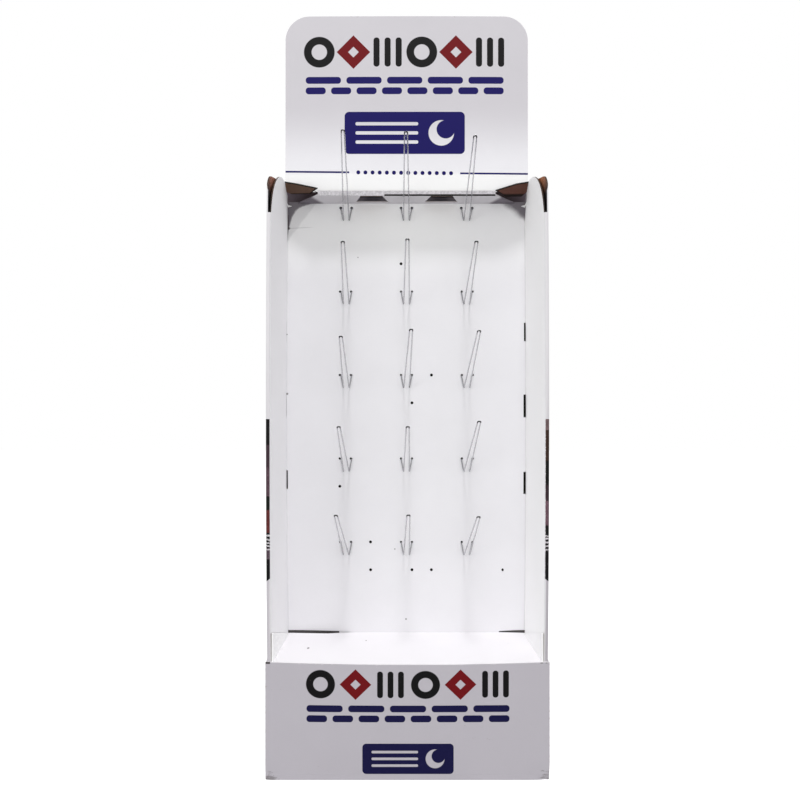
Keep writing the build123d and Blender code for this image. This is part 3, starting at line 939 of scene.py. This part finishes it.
# The rear panel's upper corners stand square behind the dust flaps, and the pressed holes are a little torn
def trimBody(co):
    s = bodyTrim
    reach = abs(co.x)
    if co.y > s["rearDepth"] and reach > s["taper"]:
        atTop = co.z > s["taperTop"][0] and reach < s["taperTop"][1]
        nearHeight, nearReach = s["taperNear"]
        atFoot = abs(co.z - s["taperFoot"][0]) < nearHeight and abs(reach - s["taperFoot"][1]) < nearReach
        if atTop or atFoot:
            return Vector((math.copysign(s["corner"] - reach, co.x), 0, 0))
    inPanel = s["panel"][0] < co.y < s["panel"][1]
    slitHeight = s["slitHeight"][0] < co.z < s["slitHeight"][1]
    if inPanel and slitHeight and s["slitAcross"][0] < reach < s["slitAcross"][1]:
        return trimSlit(co)
    inCrease = s["creaseHeight"][0] < co.z < s["creaseHeight"][1]
    if inCrease and co.y < s["creaseRear"] and reach < s["creaseHalf"]:
        return trimCrease(co)
    if inPanel and reach < s["holesHalf"]:
        return trimHole(co)
    return Vector()


# Zones give distance from the middle, depth and height
bodyFaces = {
    "tongue": ((0.262, 0.2727), (0.0885, 0.0925), (1.2165, 1.2225)),
    "flapEnd": ((0.19, 0.2510), (-1.0, 0.0925), (1.2265, 1.2380)),
    "crease": ((-1.0, 0.1987), (0.0439, 0.0469), (1.2260, 1.2299)),
    "creaseBack": 0.0441, "creaseFoot": 1.2269,
    "window": ((0.035, 0.125), (0.0455, 0.0875), (1.2265, 1.2305)),
    "behindBack": ((-1.0, 0.2735), (0.0885, 0.0985), (-1.0, 1.2)),
    "flapUnder": ((0.19, 0.2825), (0.03, 1.0), (1.2165, 2.0)),
    "topInside": ((-1.0, 1.0), (0.043, 1.0), (-1.0, 1.2315)),
    "kraftAbove": 1.1, "sideways": 0.3,
}


def inZone(point, zone):
    return all(low < value < high for value, (low, high) in zip((abs(point.x), point.y, point.z), zone))


# Faces that look into the hollows take the hollow liner, painted dark as shade; the flap's cut ends and the
# windows' cut edges take the white liner and its painted grey shade
def bodySide(point, normal, isLiner):
    s = bodyFaces
    outward = normal.x if point.x > 0 else -normal.x
    if inZone(point, s["crease"]) and (point.y > s["creaseBack"] or point.z < s["creaseFoot"]):
        return None
    flapEnd = inZone(point, s["flapEnd"]) and abs(normal.x) > s["sideways"]
    if inZone(point, s["tongue"]) or flapEnd or (inZone(point, s["window"]) and not isLiner):
        return whiteSide
    if not isLiner:
        return hollowSide if abs(normal.z) < facing and inZone(point, s["behindBack"]) else None
    if inZone(point, s["flapUnder"]) and normal.z < -s["sideways"]:
        return kraftSide
    onInner = abs(point.x) < skinMiddle
    if outward > facing:
        if not onInner:
            return whiteSide
        return kraftSide if point.z > s["kraftAbove"] else hollowSide
    if outward < -facing:
        return whiteSide if onInner else kraftSide
    if normal.y > facing:
        return hollowSide if point.y < gapMiddle else whiteSide
    if normal.y < -facing:
        return hollowSide if point.y > gapMiddle else whiteSide
    return kraftSide if normal.z > facing and inZone(point, s["topInside"]) else whiteSide


# The sides belly outwards between base and top, the inner panels more than the outer ones
bodyBow = {
    "low": 0.236, "high": 1.225, "ease": 0.6, "front": -0.1047, "depth": 0.19, "outerLeft": 0.0028,
    "outerRight": 0.0031, "innerLeft": 0.0052, "innerRight": 0.0036, "outerSkin": 0.2817, "innerSkin": 0.2757,
    "backFront": 0.088, "backHalf": 0.268, "backFade": 0.05,
    "backWave": 0.0007, "backScale": 3.2, "backSeed": 4.0,
}


def bodyBend(co):
    s = bodyBow
    height = clamped((co.z - s["low"]) / (s["high"] - s["low"]))
    swell = math.sin(math.pi * height) ** s["ease"] if 0 < height < 1 else 0.0
    rear = clamped((co.y - s["front"]) / s["depth"])
    inner = s["innerLeft"] if co.x < 0 else s["innerRight"]
    outer = s["outerLeft"] if co.x < 0 else s["outerRight"]
    isOuter = abs(co.x) > skinMiddle or co.y > gapMiddle
    reach = outer if isOuter else outer + (inner - outer) * rear
    move = Vector((reach * swell * co.x / (s["outerSkin"] if isOuter else s["innerSkin"]), 0, 0))
    if s["backFront"] < co.y < gapMiddle:
        fade = clamped((s["backHalf"] - abs(co.x)) / s["backFade"])
        move.y = s["backWave"] * wave(co, s["backScale"], s["backSeed"]) * fade
    return move


# The shelf's front edge sags in its middle, and the lower front corners are dented
baseBow = {
    "sag": 0.0052, "reach": 0.075, "low": 0.10, "rise": 0.13,
    "ripple": 0.16, "rippleScale": 22.0, "rippleSeed": 5.0,
    "front": -0.10, "side": 0.285, "cornerWide": 0.045, "cornerTall": 0.034, "leftWeight": 0.55,
    "dentDeep": 0.0030, "dentBase": 0.55, "dentWave": 0.9, "dentScale": 60.0, "dentSeed": 3.0,
    "pinch": 0.0016, "pinchBase": 0.5, "pinchScale": 80.0, "pinchSeed": 7.0,
    "shelfTop": 0.2362, "wingOuter": 0.2765, "wingMiddle": 0.276,
    "acrossCuts": (0.236, 0.246, 0.254, 0.262, 0.269, 0.275, 0.280),
    "footCuts": (0.006, 0.012, 0.019, 0.027, 0.036),
    "crownCuts": (0.2215, 0.2285, 0.2320), "frontCuts": (-0.103, -0.098, -0.092),
}
baseCuts = [(0, side * place) for side in (-1, 1) for place in baseBow["acrossCuts"]]
baseCuts += [(2, place) for place in baseBow["footCuts"] + baseBow["crownCuts"]]
baseCuts += [(1, place) for place in baseBow["frontCuts"]]


def baseDip(co):
    s = baseBow
    across = 1 - min(1.0, abs(co.x) / bayHalf) ** 2
    back = max(0.0, 1 - (co.y - baseFront) / s["reach"])
    tall = clamped((co.z - s["low"]) / s["rise"])
    ripple = 1 + s["ripple"] * wave(co, s["rippleScale"], s["rippleSeed"])
    return -s["sag"] * across * back * tall * ripple


def baseSide(point, normal, isLiner):
    if not isLiner:
        # The wings' cut edges take the white liner, where they are painted pure white as highlight
        onWing = point.z > baseBow["shelfTop"] and abs(point.x) < baseBow["wingOuter"]
        return whiteSide if onWing else None
    if abs(normal.x) > facing:
        outward = normal.x * point.x > 0
        isWing = abs(point.x) < baseBow["wingMiddle"]
        return whiteSide if outward != isWing else kraftSide
    if abs(normal.y) > facing:
        return whiteSide if normal.y * point.y > 0 else kraftSide
    return kraftSide if normal.z < 0 else whiteSide


def baseBend(co):
    s = baseBow
    move = Vector((0, 0, baseDip(co)))
    nearSide = max(0.0, 1 - (s["side"] - abs(co.x)) / s["cornerWide"])
    nearCorner = nearSide * max(0.0, 1 - co.z / s["cornerTall"])
    if co.y < s["front"] and nearCorner > 0:
        weight = nearCorner * (1.0 if co.x > 0 else s["leftWeight"])
        dent = max(0.0, s["dentBase"] + s["dentWave"] * wave(co, s["dentScale"], s["dentSeed"]))
        pinch = max(0.0, s["pinchBase"] + wave(co, s["pinchScale"], s["pinchSeed"]))
        move.y += s["dentDeep"] * weight * dent
        move.x -= math.copysign(s["pinch"], co.x) * weight * pinch
    return move


# The header leans back a little towards its upper corners
headerBow = {"low": 1.27, "rise": 0.36, "corner": 0.0016, "wave": 0.0006, "scale": 3.0, "seed": 2.0}


def headerSide(point, normal, isLiner):
    if not isLiner:
        return None
    return kraftSide if normal.y > facing else whiteSide


def headerBend(co):
    s = headerBow
    lift = max(0.0, (co.z - s["low"]) / s["rise"])
    lean = s["corner"] * (co.x / bayHalf) ** 2 + s["wave"] * wave(co, s["scale"], s["seed"])
    return Vector((0, lean * lift, 0))


def ribSide(point, normal, isLiner):
    return kraftSide if isLiner else None


# A rib's top follows the sagging shelf, and its foot stays on the floor
def ribBend(co):
    return Vector((0, 0, min(0.0, baseDip(co)) if co.z > 0.2 else 0.0))


# Grid steps are in metres across, in depth and in height
bodyGrid = (0.06, 0.04, 0.06)
baseGrid = (0.045, 0.05, 0.06)
headerGrid = (0.045, 0, 0.045)
ribGrid = (0, 0.04, 0)
boardPiece("body_board", "body_shell", bodySide, "walls", bodyGrid, bodyBend, (), trimBody)
boardPiece("base_board", "base_sleeve", baseSide, "base", baseGrid, baseBend, baseCuts)
boardPiece("header_board", "header_card", headerSide, "header", headerGrid, headerBend)
for rib in ("rib_long", "rib_left", "rib_right"):
    boardPiece(rib + "_board", rib, ribSide, "kraft", ribGrid, ribBend)
print("board pieces made")


# Clear double-rod hooks, each one rod bent from pin to pin

hookSize = {
    "radius": 0.0014, "sides": 14, "pinHalf": 0.0125, "footHalf": 0.0065, "tipHalf": 0.0030,
    "stub": 0.013, "drop": 0.031,
    "pinBend": 0.0022, "footBend": 0.0060, "tipBend": 0.0022, "straight": 0.0001,
    "legPlane": backFace - 0.0003 - 0.0014, "stubPlane": backFace + boardThickness + 0.0003 + 0.0014,
    "armStart": 0.08, "armEnd": 0.965, "bendSteps": 6, "tipReach": 0.002, "tipInset": 1.1,
    "tipShade": 0.97, "tipShadeReach": 1.4, "holeShadeFrom": 0.0002,
}


# The route with each inner corner turned into a smooth bend
def bentRoute(points, bends):
    steps = hookSize["bendSteps"]
    route = [points[0]]
    for before, corner, after, ease in zip(points, points[1:], points[2:], bends):
        back = (before - corner).normalized() * ease
        ahead = (after - corner).normalized() * ease
        for step in range(steps + 1):
            t = step / steps
            route.append(corner + back * (1 - t) ** 2 + ahead * t * t)
    return route + [points[-1]]


# A round rod: one ring of vertices, extruded and turned from point to point
def rodAlong(bm, route, radius, sides, shades):
    shadeLayer = bm.verts.layers.float.new("bendShade")
    ring = bmesh.ops.create_circle(bm, segments=sides, radius=radius, cap_ends=True)["verts"]
    heading = (route[1] - route[0]).normalized()
    turn = Vector((0, 0, 1)).rotation_difference(heading).to_matrix().to_4x4()
    bmesh.ops.transform(bm, matrix=Matrix.Translation(route[0]) @ turn, verts=ring)
    for vert in ring:
        vert[shadeLayer] = shades[0]
    edges = [edge for edge in bm.edges if all(vert in ring for vert in edge.verts)]
    lastPlane = heading
    for index in range(1, len(route)):
        grown = bmesh.ops.extrude_edge_only(bm, edges=edges)["geom"]
        verts = [part for part in grown if isinstance(part, bmesh.types.BMVert)]
        edges = [part for part in grown if isinstance(part, bmesh.types.BMEdge)]
        after = (route[index + 1] - route[index]).normalized() if index + 1 < len(route) else heading
        middle = (heading + after).normalized()
        swing = lastPlane.rotation_difference(middle).to_matrix().to_4x4()
        move = Matrix.Translation(route[index]) @ swing @ Matrix.Translation(-route[index - 1])
        bmesh.ops.transform(bm, matrix=move, verts=verts)
        for vert in verts:
            vert[shadeLayer] = shades[index]
        lastPlane = middle
        heading = after
    bmesh.ops.contextual_create(bm, geom=edges)
    bmesh.ops.recalc_face_normals(bm, faces=bm.faces)


def makeHook(node):
    s = hookSize
    coords = [vert.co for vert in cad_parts[node].data.vertices]
    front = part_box(node)[0][1]
    tipPoints = [co for co in coords if co.y < front + s["tipReach"]]
    tip = sum(tipPoints, Vector()) / len(tipPoints)
    tip.y = front + s["radius"] * s["tipInset"]
    pins = [co for co in coords if co.y > s["stubPlane"]]
    middle = (min(co.x for co in pins) + max(co.x for co in pins)) / 2
    top = max(co.z for co in pins)
    hole = top - s["stub"]
    direction = Vector((tip.x - middle, tip.y - s["legPlane"], 0)).normalized()
    across = Vector((-direction.y, direction.x, 0)) * s["tipHalf"]
    halves = []
    for side in (1, -1):
        pinX = middle + side * s["pinHalf"]
        foot = Vector((middle + side * s["footHalf"], s["legPlane"], hole - s["drop"]))
        end = tip + across * side
        halves.append([
            Vector((pinX, s["stubPlane"], top)),
            Vector((pinX, s["stubPlane"], hole)),
            Vector((pinX, s["legPlane"], hole)),
            foot,
            foot.lerp(end, s["armStart"]),
            foot.lerp(end, s["armEnd"]),
            end,
        ])
    bends = [s["pinBend"], s["pinBend"], s["footBend"], s["straight"], s["straight"], s["tipBend"]]
    route = bentRoute(halves[0] + halves[1][::-1], bends + bends[::-1])
    # Painted shade: the rod is dark at its tip bend and inside the holes
    shades = []
    for point in route:
        atTip = s["tipShade"] if point.y < tip.y + s["tipBend"] * s["tipShadeReach"] else 0.0
        inHole = point.z > hole - s["tipBend"] and point.y > s["legPlane"] + s["holeShadeFrom"]
        shades.append(max(atTip, 1.0 if inHole else 0.0))
    bm = bmesh.new()
    rodAlong(bm, route, s["radius"], s["sides"], shades)
    for face in bm.faces:
        face.smooth = len(face.verts) == 4
    mesh = bpy.data.meshes.new(node + "_clear")
    bm.to_mesh(mesh)
    bm.free()
    mesh.materials.append(materials["plastic"])
    addPiece(node + "_clear", mesh, node)


for node in sorted(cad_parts):
    if node.startswith("hook_"):
        makeHook(node)
print("hooks made")


# Floor, light and camera

studio = {
    "worldStrength": 0.62, "floorHalf": 40.0, "floorGlow": 0.75, "floorColour": (0.60, 0.60, 0.60),
    "keyPlace": (0.10, -2.75, 8.6), "keyAim": (0, 0, 0.9), "keySize": 1.2, "keyPower": 375.0,
    "leftPlace": (-2.5, -2.3, 1.0), "sideAim": (0, 0, 0.8), "sideSize": 1.6, "leftPower": 14.0,
    "rightPlace": (2.5, -2.3, 1.0), "rightPower": 5.0,
    "cameraPlace": (-0.015, -1.389, 0.680), "sensor": 36, "focalPixels": 640.7, "imagePixels": 800,
    "horizonPixel": 440,
}


def makeFloor():
    bm = bmesh.new()
    bmesh.ops.create_grid(bm, x_segments=1, y_segments=1, size=studio["floorHalf"])
    mesh = bpy.data.meshes.new("floor")
    bm.to_mesh(mesh)
    bm.free()
    floor = bpy.data.objects.new("floor", mesh)
    bpy.context.scene.collection.objects.link(floor)
    g = newGraph("paleFloor")
    seen = g.node("LightPath", output="Is Camera Ray")
    lit = g.node("BsdfDiffuse", None, studio["floorColour"])
    glow = g.node("Emission", None, (1, 1, 1), seen * studio["floorGlow"])
    mesh.materials.append(g.finish(g.node("AddShader", None, lit, glow)))


def makeLamp(name, place, aim, size, power):
    data = bpy.data.lights.new(name, "AREA")
    data.shape = "DISK"
    data.size = size
    data.energy = power
    lamp = bpy.data.objects.new(name, data)
    lamp.location = place
    lamp.rotation_euler = (Vector(aim) - Vector(place)).to_track_quat("-Z", "Y").to_euler()
    bpy.context.scene.collection.objects.link(lamp)


# White where the camera sees it, also through and off the clear rods, and dimmer as a light
def makeWorld():
    world = bpy.data.worlds.new("studio")
    g = Graph(world)
    seen = g.node("LightPath", output="Is Camera Ray")
    for ray in ("Is Transmission Ray", "Is Glossy Ray"):
        seen = seen.most(g.node("LightPath", output=ray))
    strength = seen.ramp(0.0, 1.0, studio["worldStrength"], 1.0)
    g.finish(g.node("Background", None, (1, 1, 1), strength), "OutputWorld")
    bpy.context.scene.world = world


def makeCamera():
    data = bpy.data.cameras.new("camera")
    data.sensor_width = studio["sensor"]
    data.lens = studio["sensor"] * studio["focalPixels"] / studio["imagePixels"]
    data.shift_y = (studio["horizonPixel"] - studio["imagePixels"] / 2) / studio["imagePixels"]
    data.dof.use_dof = False
    camera = bpy.data.objects.new("camera", data)
    camera.location = studio["cameraPlace"]
    camera.rotation_euler = (math.pi / 2, 0, 0)
    bpy.context.scene.collection.objects.link(camera)
    bpy.context.scene.camera = camera


makeFloor()
makeLamp("keyLamp", studio["keyPlace"], studio["keyAim"], studio["keySize"], studio["keyPower"])
makeLamp("leftLamp", studio["leftPlace"], studio["sideAim"], studio["sideSize"], studio["leftPower"])
makeLamp("rightLamp", studio["rightPlace"], studio["sideAim"], studio["sideSize"], studio["rightPower"])
makeWorld()
makeCamera()
bpy.context.scene.view_settings.view_transform = "Standard"
print("studio made")
